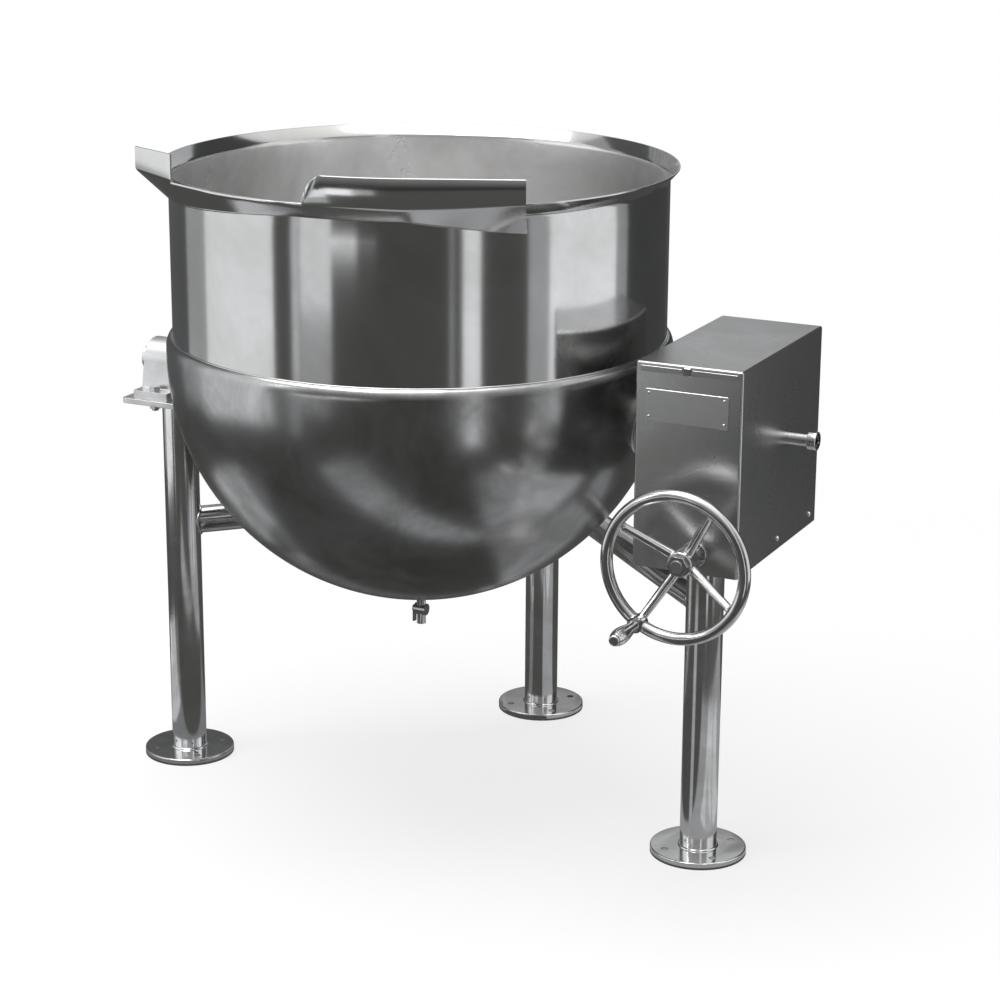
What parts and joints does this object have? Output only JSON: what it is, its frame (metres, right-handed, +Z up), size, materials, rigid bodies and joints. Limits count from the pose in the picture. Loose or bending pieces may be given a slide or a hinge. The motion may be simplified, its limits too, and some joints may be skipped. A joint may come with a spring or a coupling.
{
  "type": "tilting steam jacketed kettle",
  "caption": "Round steam jacketed cooking kettle on a three-leg stand, with a two-wing pouring lip, that tilts forward by a handwheel and worm gear in a side console.",
  "frame": {"origin": "on the floor, under the middle of the object's bounding box", "axes": "+Z up, -Y the pouring side, +X towards the console along the trunnions"},
  "size_m": [1.2994, 1.03, 1.195],
  "materials": {
    "frame_steel": "plain turned and sheared stainless steel",
    "polished_tube": "polished stainless tube, long soft reflections",
    "bearing_steel": "machined stainless, fine grain",
    "bronze": "machined bearing bronze",
    "console_sheet": "brushed stainless sheet, upright grain",
    "cast_iron": "dark cast iron",
    "bowl_polish": "near mirror polish with faint rolling marks",
    "lip_polish": "near mirror polish",
    "jacket_satin": "satin polish with cloudy hand marks",
    "fitting_chrome": "bright plated",
    "wheel_polish": "polished casting"
  },
  "bodies": {
    "stand": {"left_leg": "polished_tube", "right_leg": "polished_tube", "rear_leg": "polished_tube", "rear_leg_cap": "polished_tube", "left_foot": "polished_tube", "right_foot": "polished_tube", "rear_foot": "polished_tube", "left_brace": "polished_tube", "right_brace": "polished_tube", "left_top_plate": "bearing_steel", "right_top_plate": "bearing_steel", "left_bearing_block": "bearing_steel", "right_bearing_block": "bearing_steel", "left_bearing_bush": "bronze", "right_bearing_bush": "bronze", "left_bearing_bolts": "frame_steel", "right_bearing_bolts": "frame_steel", "console_cover": "console_sheet", "console_base": "frame_steel", "front_shaft_block": "cast_iron", "rear_shaft_block": "cast_iron", "front_shaft_bush": "bronze", "rear_shaft_bush": "bronze", "shaft_bezel": "fitting_chrome", "rotary_union": "bronze", "union_gland": "bronze", "union_stand": "frame_steel", "steam_pipe": "fitting_chrome", "pipe_collar": "fitting_chrome"},
    "kettle": {"kettle_bowl": "bowl_polish", "steam_jacket": "jacket_satin", "pouring_lip": "lip_polish", "left_trunnion": "bearing_steel", "right_trunnion": "bearing_steel", "worm_gear": "bronze", "gear_key": "frame_steel", "petcock_body": "fitting_chrome"},
    "crank": {"worm_shaft": "frame_steel", "shaft_collar": "frame_steel", "worm": "frame_steel", "handwheel": "wheel_polish", "wheel_nut": "fitting_chrome", "grip_pin": "fitting_chrome"},
    "grip": {"crank_grip": "wheel_polish"},
    "drain_lever": {"petcock_lever": "fitting_chrome"}
  },
  "joints": [
    {"name": "kettle_tilt", "type": "hinge", "parent": "stand", "child": "kettle", "pos_m": [-0.07525, -0.0735, 0.752], "axis": [1, 0, 0], "range_deg": [0, 90]},
    {"name": "crank_turn", "type": "hinge", "parent": "stand", "child": "crank", "pos_m": [0.52475, -0.3745, 0.607], "axis": [0, -1, 0], "range_deg": [0, 4500]},
    {"name": "grip_spin", "type": "hinge", "parent": "crank", "child": "grip", "pos_m": [0.46552, -0.4235, 0.50843], "axis": [0, -1, 0], "continuous": true},
    {"name": "drain_turn", "type": "hinge", "parent": "kettle", "child": "drain_lever", "pos_m": [-0.07525, -0.0735, 0.356], "axis": [1, 0, 0], "range_deg": [0, 90]}
  ],
  "couplings": [
    {"joint": "crank_turn", "follows": "kettle_tilt", "ratio": 50}
  ]
}
